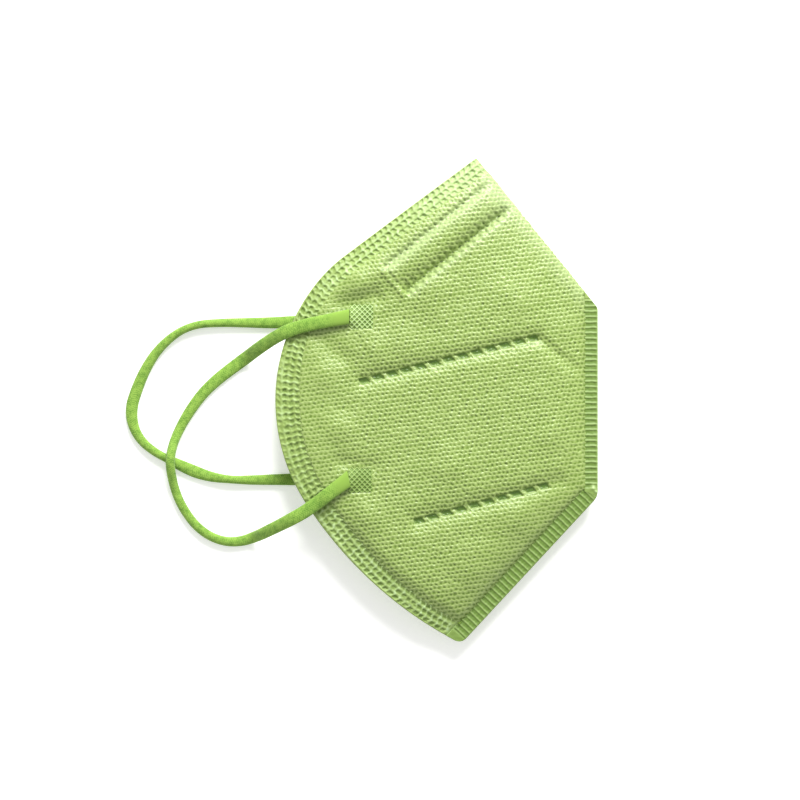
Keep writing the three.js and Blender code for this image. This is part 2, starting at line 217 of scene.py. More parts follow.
def knitted_elastic():
    """Polyamide-covered spandex, dyed yellow-green: matt, with rows of V-shaped stitches and a soft fuzz."""
    values = {"Roughness": 0.88, "IOR": 1.53, "Specular IOR Level": 0.25}
    values |= {"Sheen Weight": 0.15, "Sheen Roughness": 0.5}
    material, tree, shader = new_material("knitted elastic", values)
    stitches = add_node(tree, "UVMap", uv_map="stitches").outputs[0]
    split = add_node(tree, "SeparateXYZ", {0: stitches}).outputs
    column = arithmetic(tree, "PINGPONG", split[0], 1.0)
    slanted = arithmetic(tree, "MULTIPLY_ADD", column, 0.9, split[1])
    turn = arithmetic(tree, "MULTIPLY", slanted, 2 * math.pi)
    row = remapped(tree, arithmetic(tree, "COSINE", turn), -1.0, 1.0)
    place = add_node(tree, "TexCoord").outputs["Object"]
    fuzz = speckled(tree, place, 2600.0, 3.0)
    mottle = speckled(tree, place, 650.0, 2.0)
    mixed = arithmetic(tree, "MULTIPLY_ADD", row, 0.3, fuzz)
    shade = arithmetic(tree, "MULTIPLY_ADD", mottle, 0.9, mixed)
    ramp = add_node(tree, "ValToRGB", {0: remapped(tree, shade, 0.75, 1.3)})
    ramp.color_ramp.elements[0].color = srgb("#557f29")
    ramp.color_ramp.elements[1].color = srgb("#89ae48")
    # Near each end, one even lighter colour: the ironed knit, and a painted highlight of its flat lit top.
    ironed_and_lit = attribute(tree, "ironed_and_lit")
    smooth = blended(tree, ironed_and_lit, ramp.outputs[0], "#82a542")
    strength = remapped(tree, ironed_and_lit, start=0.5, end=0.1)
    feed(tree, shader, {"Base Color": smooth, "Normal": bumped(tree, strength, 0.08 * MM, mixed)})
    return material


def smoothstep(low, high, value):
    share = min(1.0, max(0.0, (value - low) / (high - low)))
    return share * share * (3 - 2 * share)


def curve_point(before, start, end, after, share):
    """A point of the centripetal Catmull-Rom curve from start to end."""
    gaps = [(b - a).xyz.length**0.5 for a, b in ((before, start), (start, end), (end, after))]
    leave = (start - before) / gaps[0] - (end - before) / (gaps[0] + gaps[1]) + (end - start) / gaps[1]
    arrive = (end - start) / gaps[1] - (after - start) / (gaps[1] + gaps[2]) + (after - end) / gaps[2]
    leave *= gaps[1]
    arrive *= gaps[1]
    bend = 3 * (end - start) - 2 * leave - arrive
    twist = 2 * (start - end) + leave + arrive
    return start + leave * share + bend * share**2 + twist * share**3


def even_line(route, step):
    """Evenly spaced points along the smooth curve through a route."""
    points = [Vector(p) for p in route]
    points = [2 * points[0] - points[1], *points, 2 * points[-1] - points[-2]]
    fine = []
    for i in range(len(points) - 3):
        fine += [curve_point(*points[i : i + 4], k / 24) for k in range(24)]
    fine.append(points[-2])
    lengths = [0.0]
    for a, b in zip(fine, fine[1:]):
        lengths.append(lengths[-1] + (b - a).xyz.length)
    count = round(lengths[-1] / step)
    line = []
    k = 0
    for n in range(count + 1):
        at = lengths[-1] * n / count
        while k < len(fine) - 2 and lengths[k + 1] < at:
            k += 1
        line.append(fine[k].lerp(fine[k + 1], (at - lengths[k]) / (lengths[k + 1] - lengths[k])))
    return line, lengths[-1]


def knit_height(around, along):
    """Height of the knit, from 0 between the columns to 1 on the back of a stitch."""
    slant = abs(2 * (around % 1) - 1)
    row = 0.5 + 0.5 * math.cos(2 * math.pi * (along + 0.45 * slant))
    return (0.35 + 0.65 * row) * (1 - 0.7 * slant**6)


def finish_piece(bm, name, material):
    """Makes an object in metres from a mesh in millimetres. It rides with the mask, which is one body."""
    bmesh.ops.scale(bm, vec=(MM, MM, MM), verts=bm.verts)
    mesh = bpy.data.meshes.new(name)
    bm.to_mesh(mesh)
    bm.free()
    mesh.shade_smooth()
    mesh.materials.append(material)
    piece = new_object(name, mesh)
    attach(piece, "root")
    return piece


def ear_loop(name, route, material):
    """Sweeps the oval tube along a route. On the floor it rests on its own thickness."""
    step = COURSE / STITCH_CELLS
    line, length = even_line(route, step)
    sides = WALES * STITCH_CELLS
    area = STRAP_WIDTH * STRAP_THICKNESS
    rings = []
    for k, point in enumerate(line):
        ahead = (line[min(k + 1, len(line) - 1)] - line[max(k - 1, 0)]).xyz.normalized()
        aside = Vector((0, 0, 1)).cross(ahead).normalized()
        half_width = point.w / 2
        half_height = area / 4 / half_width
        centre = point.xyz
        centre.z += (half_height - point.z) * (1 - smoothstep(1.8, 6.0, point.z))
        centre.z -= SETTLING * (1 - smoothstep(14.25, 14.6, point.z)) * smoothstep(7.0, 12.0, point.z)
        rings.append((centre, aside, ahead.cross(aside), ahead, half_width, half_height))
    bm = bmesh.new()
    stitches = bm.loops.layers.uv.new("stitches")
    ironed_and_lit = bm.verts.layers.float.new("ironed_and_lit")
    bmesh.ops.create_grid(bm, x_segments=sides, y_segments=len(line) - 1, size=0.5, calc_uvs=True)
    for face in bm.faces:
        for corner in face.loops:
            corner[stitches].uv.x = (corner.vert.co.x + 0.5) * WALES
            corner[stitches].uv.y = (corner.vert.co.y + 0.5) * length / COURSE
    for vert in bm.verts:
        turn = vert.co.x + 0.5
        ring = round((vert.co.y + 0.5) * (len(line) - 1))
        centre, aside, up, ahead, half_width, half_height = rings[ring]
        from_end = min(ring, len(line) - 1 - ring) * step
        vert[ironed_and_lit] = 1 - smoothstep(3.0, IRON_REACH, from_end)
        knit = knit_height(turn * WALES, ring / STITCH_CELLS) - 1
        raised = STITCH_HEIGHT * (1 - vert[ironed_and_lit]) * knit
        across, upwards = math.cos(2 * math.pi * turn), math.sin(2 * math.pi * turn)
        across = math.copysign(abs(across) ** SECTION_POWER, across) * (half_width + raised)
        upwards = math.copysign(abs(upwards) ** SECTION_POWER, upwards) * (half_height + raised)
        cut = 1 - smoothstep(0.0, CUT_REACH, from_end)
        slant = max(-CUT_SLANT, min(CUT_SLANT, aside.x / ahead.x)) * cut if cut else 0.0
        tuck = START_TUCK * cut if ring < len(line) / 2 else 0.0
        vert.co = centre + (aside - ahead * slant) * across + up * upwards - ahead * tuck
    bmesh.ops.remove_doubles(bm, verts=bm.verts, dist=0.001)
    bmesh.ops.holes_fill(bm, edges=[e for e in bm.edges if e.is_boundary], sides=0)
    bmesh.ops.recalc_face_normals(bm, faces=bm.faces)
    piece = finish_piece(bm, f"ear_loop_{name}_knit", material)
    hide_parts(f"ear_loop_{name}")
    return piece


elastic = knitted_elastic()
for side, route in LOOP_ROUTES.items():
    ear_loop(side, route, elastic)

# ------------------------------
# Panels: the outer layer of the web, spunbond polypropylene that hot pins have bonded point by point. Each
# half is one cut, swollen by the layers under it, pressed in along two dashed weld lines and raised over the
# clip. The pins leave a slanting lattice of small dull pits with soft ridges between them.

NOSE_TIP = Vector((13.0, 79.4))
FRONT_TOP = Vector((52.72, 30.14))
FRONT_BOTTOM = Vector((52.72, -31.7))
CHIN_TIP = Vector((8.0, -79.86))
CHEEK_CENTRE = Vector((8.78, -0.2))
CHEEK_RADIUS = 61.5
# The face edge's arcs: radius, the angle where the arc meets the cheek's, and the angles it runs between.
FACE_ARCS = [(50.0, 141.4, 126.9, 141.4), (61.5, 0.0, 141.4, 212.66), (133.4, 212.66, 212.66, 241.25)]

WALL = 1.4
MID_HEIGHT = 5.9
SEAM_HALF = 0.6
FRONT_SEAM = 4.4
CHIN_SEAM = 5.3
FACE_BAND = 7.9  # the welded band along the face edge is about this wide where it is widest
ROW_PITCH = 2.07  # from row to row of its three rows of pockets
BROW_DROP = 0.15  # the band is drawn this far below the panel along the clip's channel
CHIN_DROP = 0.95  # and this far towards the chin
FOLD_BULGE = 0.9
FOLD_RADIUS = 2.4
UPPER_PUFF = 6.2
LOWER_PUFF = 7.5
PUFF_REACH = 14.0
CHIN_FROM = 140.0  # from this far along the face edge, the band is the chin's
# This share of the swelling rises at once by a seam, within the shoulder's short reach.
FRONT_SHOULDER = (0.22, 3.0)
CHIN_SHOULDER = (0.42, 4.5)
UPPER_LIP = {"drop": 1.0, "reach": 16.0}
LIP_PRESS = 0.9  # the welded band slopes down this much more, out to the edge
LOWER_LIP = {"share": 0.08, "from": 24.0, "to": 38.0}

# Soft valleys that the welds draw in: both ends, depth and spread.
VALLEYS = [
    ((-23.9, 6.2), (31.4, 20.1), 1.0, 2.7),
    ((-6.0, -39.4), (40.0, -26.8), 1.05, 3.0),
    ((-30.5, 30.8), (-20.5, 33.6), 1.3, 3.2),
    ((33.5, 19.7), (47.0, 9.2), 0.8, 1.9),
    ((-38.0, 20.0), (-31.0, 14.0), 0.6, 3.2),
    ((-31.0, -20.5), (-21.5, -21.5), 0.8, 2.6),
]
# Soft swells of the padded layers: place, radius and height.
SWELLS = [
    ((-25.0, 38.4), 4.8, 1.2),
    ((-18.5, 42.0), 4.0, 0.8),
    ((-2.0, 35.5), 6.5, 0.8),
    ((25.0, 33.5), 7.5, 0.8),
    ((42.4, 25.1), 4.0, 0.5),
    ((-21.0, 17.0), 5.0, 0.9),
    ((-11.0, 18.5), 5.0, 0.6),
    ((-36.0, 7.5), 4.5, 0.7),
    ((-31.5, -9.5), 4.5, 0.9),
    ((38.0, -11.0), 5.0, 0.5),
    ((4.5, -21.5), 7.5, 0.9),
    ((-23.0, -37.5), 4.5, 0.9),
    ((26.0, -38.5), 5.0, 0.7),
    ((12.0, -53.0), 8.0, 0.8),
]

# The bonding pins: two steps of their lattice, and the size of one pit.
PIN_STEPS = (Vector((1.475, 0.196)), Vector((-0.419, -1.452)))
PIN_CELLS = {"upper": (4, 5), "lower": (3, 4)}  # mesh cells from pin to pin, along each step
PIN_DRIFT = 0.3  # the cloth draws in unevenly between its bonds, by this share of a step
PIN_WAVES = (0.08, 0.12, 0.15)  # heights of the three waves that make the relief
PIT_HALF = (0.56, 0.32)  # half the length of a bond, along the first step, and half its width
PANEL_TUCK = 0.5  # a panel's edges reach this far under the welded bands
HALVES = ("upper", "lower")

# The dashed weld lines: the middles of the first and last dashes, and how many there are.
DASH_LINES = [((-23.9, 6.2), (31.4, 20.1), 13), ((-6.0, -39.4), (34.9, -28.2), 10)]
DASH = {"half_length": 1.55, "half_width": 1.05, "depth": 0.65, "edge": 0.3}

# The strap welds, under which the cloth is pressed flat.
WELD_SIZE = (8.2, 8.8)
WELD_PLACES = {"upper": (-24.5, 27.1), "lower": (-24.9, -26.2)}

# The channel over the nose clip, square to the fold.
CLIP_CROSSING = Vector((21.6, 68.7))
CLIP_REACH = 46.0
CLIP_HALF = 5.7
CLIP_CREST_AT = 2.2  # the crest lies this far towards the nose tip
CLIP_CREST = 0.9
CLIP_VALLEY_AT = 4.4
CLIP_VALLEY = -0.85
CLIP_CREASE = -2.0
CLIP_LIP = 0.5  # the ridge that closes the channel's end
CLIP_TEETH = 0.85
TOOTH_PITCH = {"valley": 2.14, "crease": 2.67}  # the pitch of the band's pockets, and of the pins' rows
TIP_PALING_AND_HIGHLIGHT = 0.5  # painted highlight round the nose tip, where the cloth is stretched most
CREST_HIGHLIGHT_AT = 3.9  # middle of the painted highlight on the stretched slope from the crest out to the band


class Side:
    """One straight side of the outline. Inwards is square to it, and reach is how far in a point lies."""

    def __init__(self, start, end):
        along = (end - start).normalized()
        self.along = along
        self.inwards = Vector((-along.y, along.x))
        self.start = start
        self.length = (end - start).length
        self.offset = self.inwards.dot(start)

    def reach(self, x, y):
        return self.inwards.x * x + self.inwards.y * y - self.offset

    def point(self, along, inwards):
        return self.start + self.along * along + self.inwards * inwards


FOLD = Side(FRONT_TOP, NOSE_TIP)
FRONT = Side(FRONT_BOTTOM, FRONT_TOP)
CHIN = Side(CHIN_TIP, FRONT_BOTTOM)


class Arc:
    """One arc of the face edge. Its centre is on the line from the cheek's centre to where the two meet."""

    def __init__(self, radius, meets_at, start, end):
        angle = math.radians(meets_at)
        towards = Vector((math.cos(angle), math.sin(angle)))
        self.centre = CHEEK_CENTRE + (CHEEK_RADIUS - radius) * towards
        self.radius = radius
        self.start = math.radians(start)
        self.end = math.radians(end)
        self.length = radius * (self.end - self.start)

    def point(self, angle, inwards):
        return self.centre + (self.radius - inwards) * Vector((math.cos(angle), math.sin(angle)))


ARCS = [Arc(*values) for values in FACE_ARCS]
BROW = Side(NOSE_TIP, ARCS[0].point(ARCS[0].start, 0))  # the face edge's straight stretch
BROW_LENGTH = BROW.length
FACE_LENGTH = BROW_LENGTH + sum(arc.length for arc in ARCS)


def face_place(along, inwards):
    """The point that far along the face edge from the nose tip, and that far in from it."""
    if along < BROW_LENGTH:
        return BROW.point(along, inwards)
    along -= BROW_LENGTH
    for arc in ARCS:
        if along < arc.length or arc is ARCS[-1]:
            return arc.point(arc.start + along / arc.radius, inwards)
        along -= arc.length


def face_reach(x, y):
    """How far inside the face edge a point is, and how far along the edge from the nose tip."""
    nearest = 1e9
    place = FACE_LENGTH
    run = (x - NOSE_TIP.x) * BROW.along.x + (y - NOSE_TIP.y) * BROW.along.y
    if run <= BROW_LENGTH:
        nearest = BROW.reach(x, y)
        place = run
    before = BROW_LENGTH
    for arc in ARCS:
        dx = x - arc.centre.x
        dy = y - arc.centre.y
        angle = math.atan2(dy, dx) % (2 * math.pi)
        reach = arc.radius - math.hypot(dx, dy)
        if arc.start <= angle <= arc.end and reach < nearest:
            nearest = reach
            place = before + (angle - arc.start) * arc.radius
        before += arc.length
    return max(0.0, nearest), place


def stretch_distance(x, y, start, end):
    dx = end[0] - start[0]
    dy = end[1] - start[1]
    share = min(1.0, max(0.0, ((x - start[0]) * dx + (y - start[1]) * dy) / (dx * dx + dy * dy)))
    return math.hypot(x - start[0] - share * dx, y - start[1] - share * dy)


def slab(value, half, edge):
    """1 within half of nought, 0 outside it, with a soft edge."""
    return 1 - smoothstep(half - edge, half + edge, abs(value))


def turn_share(off):
    """From 0 on a closed side to 1 past the turn beside it, on a quarter circle."""
    left = 1 - min(1.0, max(0.0, off / FOLD_RADIUS))
    return math.sqrt(1 - left * left)


def clip_place(x, y):
    """How far along the clip a point is, inwards from the fold, and how far across, towards the nose tip."""
    dx = x - CLIP_CROSSING.x
    dy = y - CLIP_CROSSING.y
    return dx * FOLD.inwards.x + dy * FOLD.inwards.y, dx * FOLD.along.x + dy * FOLD.along.y


def clip_channel(x, y):
    """Height of the web over the clip: from a soft valley at the upper edge up to a crest, then down ever
    more steeply to a sharp crease at the lower edge."""
    along, across = clip_place(x, y)
    if along > CLIP_REACH + 5:
        return 0.0
    # The pinned cloth folds in steps, which leave the creases with teeth.
    uneven = 0.3 * noise.noise(Vector((along, 0, 0)) / 4.0)
    teeth = {part: abs(2 * ((along / pitch + uneven) % 1) - 1) for part, pitch in TOOTH_PITCH.items()}
    across += CLIP_TEETH * (teeth["crease"] - 0.5) * smoothstep(-2.0, -4.5, across)
    across += CLIP_TEETH * (teeth["valley"] - 0.5) * smoothstep(3.0, 4.5, across)
    if across > CLIP_VALLEY_AT:
        height = CLIP_VALLEY * (1 - smoothstep(CLIP_VALLEY_AT, CLIP_VALLEY_AT + 1.7, across))
    elif across > CLIP_CREST_AT:
        share = (across - CLIP_CREST_AT) / (CLIP_VALLEY_AT - CLIP_CREST_AT)
        height = CLIP_CREST + (CLIP_VALLEY - CLIP_CREST) * share**1.2
    elif across > -CLIP_HALF:
        share = (CLIP_CREST_AT - across) / (CLIP_CREST_AT + CLIP_HALF)
        power = 4.0 - 1.6 * smoothstep(28, 43, along)
        height = CLIP_CREST + (CLIP_CREASE - CLIP_CREST) * share**power
    else:
        height = CLIP_CREASE * (1 - smoothstep(CLIP_HALF, CLIP_HALF + 2.6, -across))
    height *= 1 - smoothstep(CLIP_REACH - 0.8, CLIP_REACH + 0.6, along)
    lip = CLIP_LIP * math.exp(-((along - CLIP_REACH - 1.2) ** 2)) * slab(across + 1, CLIP_HALF, 1.0)
    return (height + lip) * smoothstep(0.5, 7.0, along)


def paling_and_highlight_share(x, y):
    """Share of paleness on slopes that face the lamp, as painted highlight, with some paling of stretched
    cloth:
    along the fold, over the clip's crest, past its crease and round the nose tip."""
    along, across = clip_place(x, y)
    crest = math.exp(-(((across - CREST_HIGHLIGHT_AT) / 2.2) ** 2))
    crest += 0.8 * math.exp(-(((across + CLIP_HALF + 1.8) / 1.3) ** 2))
    crest *= 1 - smoothstep(CLIP_REACH - 1, CLIP_REACH + 1, along)
    fold = 0.55 * (1 - smoothstep(0.0, 7.0, FOLD.reach(x, y)))
    tip = TIP_PALING_AND_HIGHLIGHT * math.exp(-(along**2 + across**2) / 14**2)
    return min(1.0, max(fold, 0.9 * crest) + tip)


def web_half(x, y, upper, fold_turn):
    """Half the folded mask's thickness at a point, from its mid height to one half's outer surface."""
    fold = FOLD.reach(x, y)
    front = FRONT.reach(x, y) - FRONT_SEAM
    chin = CHIN.reach(x, y) - CHIN_SEAM
    swelling = 1 - math.exp(-max(fold, 0.0) / PUFF_REACH)
    for off, (shoulder, reach) in ((front, FRONT_SHOULDER), (chin, CHIN_SHOULDER)):
        off = max(off, 0.0)
        swelling *= 1 - (1 - shoulder) * math.exp(-off / PUFF_REACH) - shoulder * math.exp(-off / reach)
    half = SEAM_HALF * fold_turn + FOLD_BULGE * fold_turn * turn_share(front) * turn_share(chin)
    face = face_reach(x, y)[0]
    relief = 0.0
    for start, end, depth, spread in VALLEYS:
        relief += depth * math.exp(-((stretch_distance(x, y, start, end) / spread) ** 2))
    for (sx, sy), radius, height in SWELLS:
        away = (x - sx) ** 2 + (y - sy) ** 2
        if away < 9 * radius * radius:
            relief -= height * math.exp(-away / (radius * radius))
    if upper:
        half += UPPER_PUFF * swelling
        relief += UPPER_LIP["drop"] * (1 - smoothstep(0, UPPER_LIP["reach"], face))
        relief += LIP_PRESS * max(0.0, 1 - face / FACE_BAND)
    else:
        share = LOWER_LIP["share"]
        share += (1 - share) * smoothstep(LOWER_LIP["from"], LOWER_LIP["to"], face)
        half += LOWER_PUFF * share * swelling
        relief *= 0.3
    return half - relief * min(1.0, 2 * swelling) + clip_channel(x, y)


def first_row(along):
    """How far inside the edge the first row of pockets runs. It leaves a plain border at the cheek."""
    return 1.0 + 2.0 * smoothstep(64, 112, along) * (1 - smoothstep(116, 200, along))


def band_width(along):
    return first_row(along) + 2 * ROW_PITCH + 0.9


def band_drop(inwards, along, turn):
    """How far the welded edge is drawn down: a little by the nose, and most towards the chin, where the panel
    comes down with it. At the fold it is level."""
    brow = 1 - smoothstep(BROW_LENGTH - 5, BROW_LENGTH + 5, along)
    chin = smoothstep(CHIN_FROM, CHIN_FROM + 35, along)
    width = band_width(along)
    share = 1 - smoothstep(width - 0.2 - 0.8 * chin, width + 2.0 + 1.4 * chin, inwards)
    return (BROW_DROP * brow + CHIN_DROP * chin) * share * math.sin(turn)


# For the turn, the flat cloth runs this far past the folded outline.
FOLD_SHIFT = (math.pi / 2 - 1) * FOLD_RADIUS


def fold_over(x, y):
    """Where a point of the flat cloth lies in the plan once folded, and how far round the turn it is."""
    reach = FOLD.reach(x, y)
    run = max(0.0, reach + FOLD_SHIFT)
    turn = min(run / FOLD_RADIUS, math.pi / 2)
    off = FOLD_RADIUS * (1 - math.cos(turn)) + max(0.0, run - FOLD_RADIUS * math.pi / 2)
    return x + FOLD.inwards.x * (off - reach), y + FOLD.inwards.y * (off - reach), turn


def web_point(x, y, turn, upper, depth=0.0):
    """The point of one half that is depth inside its outer surface. The lower half is flat where it rests."""
    half = web_half(x, y, upper, math.sin(turn))
    inset = depth * math.cos(turn)
    sunk = depth * math.sin(turn)
    height = MID_HEIGHT + half - sunk if upper else max(0.0, max(0.0, MID_HEIGHT - half) + sunk)
    return Vector((x + FOLD.inwards.x * inset, y + FOLD.inwards.y * inset, height))


def trim(bm, point, outwards):
    """Cuts off what lies outwards of a point in the plan."""
    bmesh.ops.bisect_plane(
        bm,
        geom=bm.verts[:] + bm.edges[:] + bm.faces[:],
        dist=0.001,
        plane_co=(*point, 0),
        plane_no=(*outwards, 0),
        clear_outer=True,
    )


def trim_side(bm, side, inset):
    """Cuts off what lies outside a straight side that is moved in by the inset."""
    trim(bm, side.point(0, inset), -side.inwards)


def trim_tangent(bm, along, inwards):
    """Cuts off what lies outside a tangent of the line that runs that far in from the face edge."""
    point = face_place(along, inwards)
    trim(bm, point, face_place(along, inwards - 1) - point)


def trim_face(bm, tuck, steps):
    """Cuts along tangents of the line that runs that far under the welded band's inner side."""
    for k in range(steps + 1):
        along = BROW_LENGTH + (FACE_LENGTH - BROW_LENGTH) * k / steps
        trim_tangent(bm, along, band_width(along) - tuck)


def flat_panel(steps, cells, tuck):
    """A flat cut of one half inside the welded bands, on a grid whose cells follow the given steps. Its
    edges reach tuck under the bands, and it runs past the outline to the middle of the fold. At the front
    it has some to spare, which is cut off once the turn has drawn it in."""
    bm = bmesh.new()
    counts = []
    for this, other in (steps, steps[::-1]):
        square = Vector((-other.y, other.x)).normalized()
        span = sum(abs(v) for v in (square.x * 54, square.y * 81))
        counts.append(2 * math.ceil(span / abs(square.dot(this))))
    wide, tall = steps[0] * counts[0], steps[1] * counts[1]
    shear = Matrix(((wide.x, tall.x, 0, 0), (wide.y, tall.y, 0, 0), (0, 0, 1, 0), (0, 0, 0, 1)))
    segments = {"x_segments": counts[0] * cells[0], "y_segments": counts[1] * cells[1]}
    bmesh.ops.create_grid(bm, **segments, size=0.5, matrix=shear)
    trim_side(bm, FOLD, -FOLD_SHIFT)
    trim_side(bm, CHIN, CHIN_SEAM - tuck)
    trim_side(bm, FRONT, FRONT_SEAM - tuck - FOLD_SHIFT)
    trim_face(bm, tuck, 24)
    return bm


def dash_press(x, y):
    """Share of a dash's whole depth at a point. Between two dashes only the line's lower side comes up."""
    for start, end, count in DASH_LINES:
        along = Vector(end) - Vector(start)
        middle = along.length / 2
        pitch = along.length / (count - 1)
        along.normalize()
        run = (x - start[0]) * along.x + (y - start[1]) * along.y
        across = (y - start[1]) * along.x - (x - start[0]) * along.y
        if abs(across) > 1.5 or abs(run - middle) > middle + 3:
            continue
        slanted = run + 0.5 * across
        gap = 1 - slab(slanted - pitch * round(slanted / pitch), DASH["half_length"], 0.4)
        raised = gap * (1 - 0.2 * smoothstep(-0.1, 0.8, across))
        whole = slab(run - middle, middle + DASH["half_length"], DASH["edge"])
        return whole * slab(across, DASH["half_width"], DASH["edge"]) * (1 - 0.9 * raised)
    return 0.0


def pit_depth(x, y):
    """Depth of the pinned relief at a point of the flat cloth, and its place in the lattice. A pit lies where
    three waves' troughs meet, and the third is the deepest, so ridges run from upper left to lower right."""
    first, second = PIN_STEPS
    area = first.x * second.y - first.y * second.x
    i = (x * second.y - y * second.x) / area + PIN_DRIFT * noise.noise(Vector((x, y, 11)) / 1.3)
    j = (y * first.x - x * first.y) / area + PIN_DRIFT * noise.noise(Vector((x, y, 23)) / 1.3)
    turn = 2 * math.pi
    waves = (math.cos(turn * i), math.cos(turn * j), math.cos(turn * (i - j)))
    return sum(height * wave for height, wave in zip(PIN_WAVES, waves)), i, j


def vector_step(tree, operation, *values):
    made = add_node(tree, "VectorMath", dict(enumerate(values)), operation=operation)
    return made.outputs["Value" if operation in ("DOT_PRODUCT", "LENGTH") else "Vector"]


def spunbond():
    """Green spunbond polypropylene: matt fibres, denser and darker where pins fused it, with painted shade in
    its pits.
    """
    values = {"Roughness": 0.4, "IOR": 1.49, "Specular IOR Level": 0.6, "Sheen Weight": 0.1}
    material, tree, shader = new_material("point-bonded spunbond polypropylene", values)
    pins = add_node(tree, "Attribute", attribute_name="pins").outputs["Vector"]
    middle = (0.5, 0.5, 0.0)
    part = vector_step(tree, "FRACTION", vector_step(tree, "ADD", pins, middle))
    local = vector_step(tree, "SUBTRACT", part, middle)
    first, second = PIN_STEPS
    ahead = first.normalized()
    aside = Vector((-ahead.y, ahead.x))
    parts = {}
    for k, (way, size) in enumerate(zip((ahead, aside), PIT_HALF)):
        weights = (way.dot(first) / size, way.dot(second) / size, 0)
        parts[k] = vector_step(tree, "DOT_PRODUCT", local, weights)
    away = vector_step(tree, "LENGTH", add_node(tree, "CombineXYZ", parts).outputs[0])
    pit = remapped(tree, away, 0.5, 1.35, 1.0, 0.0)
    # The third value of pins: painted highlight on slopes that face the lamp, with some paling of stretched
    # cloth.
    crease = add_node(tree, "SeparateXYZ", {0: pins}).outputs[2]
    paling_and_highlight = arithmetic(tree, "MULTIPLY", crease, 0.3)
    place = add_node(tree, "TexCoord").outputs["Object"]
    fibres = speckled(tree, mapped(tree, place, 0.6, (1.0, 0.35, 1.0)), 3200.0, 4.0)
    cloudy = speckled(tree, place, 160.0, 3.0)
    # Painted shade darkens the pits over their fused colour, and painted highlight lightens the ridges
    # between them.
    pit_shade_and_ridge_highlight = remapped(tree, arithmetic(tree, "MULTIPLY_ADD", cloudy, 0.6, away), 0.6, 2.0)
    ramp = add_node(tree, "ValToRGB", {0: pit_shade_and_ridge_highlight})
    ramp.color_ramp.elements[0].color = srgb("#627d28")
    ramp.color_ramp.elements[1].color = srgb("#98ad63")
    ramp.color_ramp.elements.new(0.45).color = srgb("#7e9742")
    paled_and_highlighted = blended(tree, paling_and_highlight, ramp.outputs[0], "#c9d8ae")
    # Darker where pressed: the weld's fused colour, with painted shade on the dashes' upper walls.
    bonded_and_shaded = blended(tree, attribute(tree, "pressed_and_shade"), paled_and_highlighted, "#557523")
    fuzz = arithmetic(tree, "MULTIPLY", fibres, 0.06)
    height = arithmetic(tree, "MULTIPLY_ADD", pit, -0.1, fuzz)
    feed(tree, shader, {"Base Color": bonded_and_shaded, "Normal": bumped(tree, 1.0, MM, height)})
    return material


def panel_cut(half):
    """The flat cut of one half, with a finer grid where the dashes slope."""
    bm = flat_panel(PIN_STEPS, PIN_CELLS[half], PANEL_TUCK)
    shares = {vert: dash_press(*vert.co.xy) for vert in bm.verts}
    edges = {edge for edge in bm.edges if abs(shares[edge.verts[0]] - shares[edge.verts[1]]) > 0.35}
    edges = {edge for slope in edges for face in slope.link_faces for edge in face.edges}
    bmesh.ops.subdivide_edges(bm, edges=list(edges), cuts=1, use_grid_fill=True)
    return bm


def panel(half, material):
    """Folds and swells one half's outer cloth, with its pits and its dashes."""
    bm = panel_cut(half)
    upper = half == "upper"
    pins = bm.verts.layers.float_vector.new("pins")
    pressed_and_shade = bm.verts.layers.float.new("pressed_and_shade")
    for vert in bm.verts:
        flat_x, flat_y = vert.co.xy
        x, y, turn = fold_over(flat_x, flat_y)
        dash = dash_press(x, y)
        lip = max(0.0, dash_press(x, y + 0.5) - dash)  # the web squeezed up below a dash
        face, along = face_reach(x, y)
        seam = min(FRONT.reach(x, y) - FRONT_SEAM, CHIN.reach(x, y) - CHIN_SEAM)
        pit, i, j = pit_depth(flat_x, flat_y)
        taut = smoothstep(BROW_LENGTH - 5, BROW_LENGTH + 5, along)
        taut *= 1 - smoothstep(FACE_BAND, FACE_BAND + 22, face)
        taut *= 1 - smoothstep(CHIN_FROM - 5, CHIN_FROM + 20, along)
        pit *= 1 - 0.28 * taut
        pit *= 0.65 + 0.35 * smoothstep(0.0, 18.0, CHIN.reach(x, y) - CHIN_SEAM)
        # Third value: painted highlight by the fold, the clip, the nose tip and below each dash, where slopes
        # face the lamp.
        vert[pins] = (i, j, max(paling_and_highlight_share(x, y), lip))
        # Darker in the dashes for the fused weld, and more on each dash's upper wall as painted shade.
        vert[pressed_and_shade] = 0.45 * dash + 0.55 * dash_press(x, y - 0.5) * dash
        depth = pit * (1 - dash) * (0.95 + 0.7 * noise.noise(Vector((x, y, 9)) / 1.3))
        for weld_x, weld_y in WELD_PLACES.values():
            flat = slab(x - weld_x, WELD_SIZE[0] / 2 - 0.5, 0.3)
            flat *= slab(y - weld_y, WELD_SIZE[1] / 2 - 0.5, 0.3)
            depth += (0.45 - depth) * flat
        depth += DASH["depth"] * dash - 0.06 * lip - 0.12 * noise.noise(Vector((x, y, 0)) / 5.0)
        depth += band_drop(face, along, turn)
        depth += 0.5 * (1 - smoothstep(-0.6, 0.1, face - band_width(along)))
        depth += 0.4 * (1 - smoothstep(-0.5, -0.1, seam))
        vert.co = web_point(x, y, turn, upper, depth)
    trim_side(bm, FRONT, FRONT_SEAM - PANEL_TUCK)
    if not upper:
        bmesh.ops.reverse_faces(bm, faces=bm.faces)
    return finish_piece(bm, "panel_" + half, material)


spunbond_cloth = spunbond()
panels = {half: panel(half, spunbond_cloth) for half in HALVES}
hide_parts("mask_body")

# ------------------------------
# Linings: the inner layer against the skin, a cut of the same spunbond in each half. With the filter layers
# it is 1.4 mm inside the outer cloth, and it is seen only through the open face edge.

LINING_STEPS = (Vector((2.0, 0.0)), Vector((0.0, 2.0)))
LINING_TUCK = 0.8
LINING_PARTING = 0.06  # the two linings keep this far from the mid height


